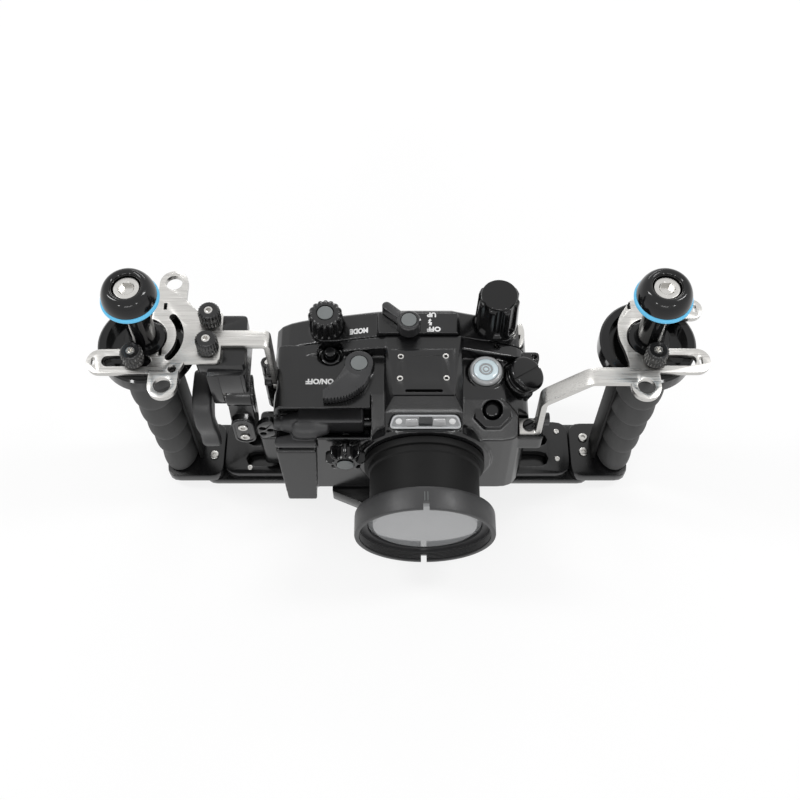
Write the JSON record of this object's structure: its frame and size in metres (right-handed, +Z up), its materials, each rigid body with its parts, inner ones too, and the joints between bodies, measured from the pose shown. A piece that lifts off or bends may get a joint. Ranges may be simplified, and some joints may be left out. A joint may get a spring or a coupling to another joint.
{
  "type": "underwater camera housing",
  "caption": "Underwater housing for a compact camera on a tray with two rubber-gripped handles, ball mounts, steel brackets, a flat port and a finger trigger.",
  "frame": {"origin": "on the tray's underside, midway between the two handles, 5 mm behind the line through the handles' centres", "axes": "+X towards the handle on the right of a person who faces the port, +Y towards the rear door, +Z up"},
  "size_m": [0.2971, 0.1125, 0.1642],
  "materials": {
    "anodised": "black hard-anodised, satin",
    "gloss_black": "black anodised, polished",
    "plastic": "black moulded plastic, fine texture",
    "grip_rubber": "matte black rubber",
    "seal_rubber": "greased black rubber",
    "ring_blue": "sky blue rubber ring",
    "stainless": "brushed stainless sheet and screws",
    "cap_grey": "grey discs let into the controls",
    "window_clear": "clear acrylic",
    "port_glass": "coated optical glass"
  },
  "bodies": {
    "housing": {"tray_base_plate": "anodised", "tray_top_plate": "anodised", "left_handle_foot": "anodised", "left_handle_spine": "anodised", "left_handle_grip": "grip_rubber", "left_handle_head": "anodised", "left_ball_mount": "gloss_black", "left_ball_ring": "ring_blue", "left_ball_bolt": "stainless", "left_clamp_screw": "anodised", "right_handle_foot": "anodised", "right_handle_spine": "anodised", "right_handle_grip": "grip_rubber", "right_handle_head": "anodised", "right_ball_mount": "gloss_black", "right_ball_ring": "ring_blue", "right_ball_bolt": "stainless", "right_clamp_screw": "anodised", "left_bracket": "stainless", "right_bracket": "stainless", "bearing_screw_rear": "anodised", "bearing_screw_front": "anodised", "right_bracket_peg": "plastic", "left_bracket_peg": "plastic", "front_shell": "anodised", "flash_window": "window_clear", "port_barrel": "gloss_black", "port_front_ring": "anodised", "port_glass": "port_glass", "leak_indicator": "window_clear", "accessory_plug": "anodised", "camera_saddle": "anodised", "hinge_pin": "stainless", "latch_keeper": "stainless", "trigger_bearing_block": "anodised"},
    "door": {"rear_door": "anodised", "door_window": "window_clear", "door_seal": "seal_rubber"},
    "latch": {"latch_knob": "gloss_black", "latch_hook": "stainless"},
    "mode_dial": {"mode_knob": "anodised", "mode_knob_cap": "cap_grey"},
    "flash_switch": {"flash_lever": "anodised", "flash_lever_cap": "cap_grey"},
    "zoom": {"zoom_lever": "anodised", "zoom_lever_cap": "cap_grey"},
    "power": {"power_button": "anodised"},
    "port_lock": {"port_lock_button": "anodised"},
    "front_wheel": {"front_knob": "anodised", "front_knob_cap": "cap_grey"},
    "dial": {"rear_dial": "anodised"},
    "button_upper_left": {"rear_button_upper_left": "anodised"},
    "button_upper_right": {"rear_button_upper_right": "anodised"},
    "button_lower_left": {"rear_button_lower_left": "anodised"},
    "button_lower_right": {"rear_button_lower_right": "anodised"},
    "shutter": {"shutter_lever": "anodised", "lever_yoke": "anodised"},
    "trigger": {"trigger_lever": "plastic", "trigger_shaft": "stainless", "drop_arm": "anodised"}
  },
  "joints": [
    {"name": "door_hinge", "type": "hinge", "parent": "housing", "child": "door", "pos_m": [-0.069, 0.013, 0.046], "axis": [0, 0, 1], "range_deg": [0, 100]},
    {"name": "latch_turn", "type": "hinge", "parent": "door", "child": "latch", "pos_m": [0.051, 0.0225, 0.1], "axis": [0, 0, 1], "range_deg": [-75, 0]},
    {"name": "mode_turn", "type": "hinge", "parent": "door", "child": "mode_dial", "pos_m": [-0.0365, 0.021, 0.095], "axis": [0, 0, 1], "continuous": true},
    {"name": "flash_turn", "type": "hinge", "parent": "door", "child": "flash_switch", "pos_m": [0.006, 0.0152, 0.1], "axis": [0, 0, 1], "range_deg": [-35, 35]},
    {"name": "zoom_turn", "type": "hinge", "parent": "housing", "child": "zoom", "pos_m": [-0.0192, -0.002, 0.09], "axis": [0, 0, 1], "range_deg": [-20, 20], "stiffness_Nm_per_rad": 0.05},
    {"name": "power_press", "type": "slide", "parent": "housing", "child": "power", "axis": [0, 0, -1], "range_m": [0, 0.0015], "stiffness_N_per_m": 400},
    {"name": "port_lock_press", "type": "slide", "parent": "housing", "child": "port_lock", "axis": [0, 0.4695, -0.8829], "range_m": [0, 0.0015], "stiffness_N_per_m": 400},
    {"name": "front_wheel_turn", "type": "hinge", "parent": "housing", "child": "front_wheel", "pos_m": [-0.0264, -0.04, 0.062], "axis": [0, 1, 0], "continuous": true},
    {"name": "dial_turn", "type": "hinge", "parent": "door", "child": "dial", "pos_m": [-0.045, 0.032, 0.045], "axis": [0, 1, 0], "continuous": true},
    {"name": "upper_left_press", "type": "slide", "parent": "door", "child": "button_upper_left", "axis": [0, -1, 0], "range_m": [0, 0.0012], "stiffness_N_per_m": 300},
    {"name": "upper_right_press", "type": "slide", "parent": "door", "child": "button_upper_right", "axis": [0, -1, 0], "range_m": [0, 0.0012], "stiffness_N_per_m": 300},
    {"name": "lower_left_press", "type": "slide", "parent": "door", "child": "button_lower_left", "axis": [0, -1, 0], "range_m": [0, 0.0012], "stiffness_N_per_m": 300},
    {"name": "lower_right_press", "type": "slide", "parent": "door", "child": "button_lower_right", "axis": [0, -1, 0], "range_m": [0, 0.0012], "stiffness_N_per_m": 300},
    {"name": "trigger_pull", "type": "hinge", "parent": "housing", "child": "trigger", "pos_m": [-0.088, -0.014, 0.085], "axis": [1, 0, 0], "range_deg": [0, 6], "stiffness_Nm_per_rad": 1},
    {"name": "shutter_press", "type": "hinge", "parent": "housing", "child": "shutter", "pos_m": [-0.037, -0.025, 0.07], "axis": [1, 0, 0], "range_deg": [0, 12], "stiffness_Nm_per_rad": 0.3}
  ],
  "couplings": [
    {"joint": "shutter_press", "follows": "trigger_pull", "ratio": 2}
  ]
}
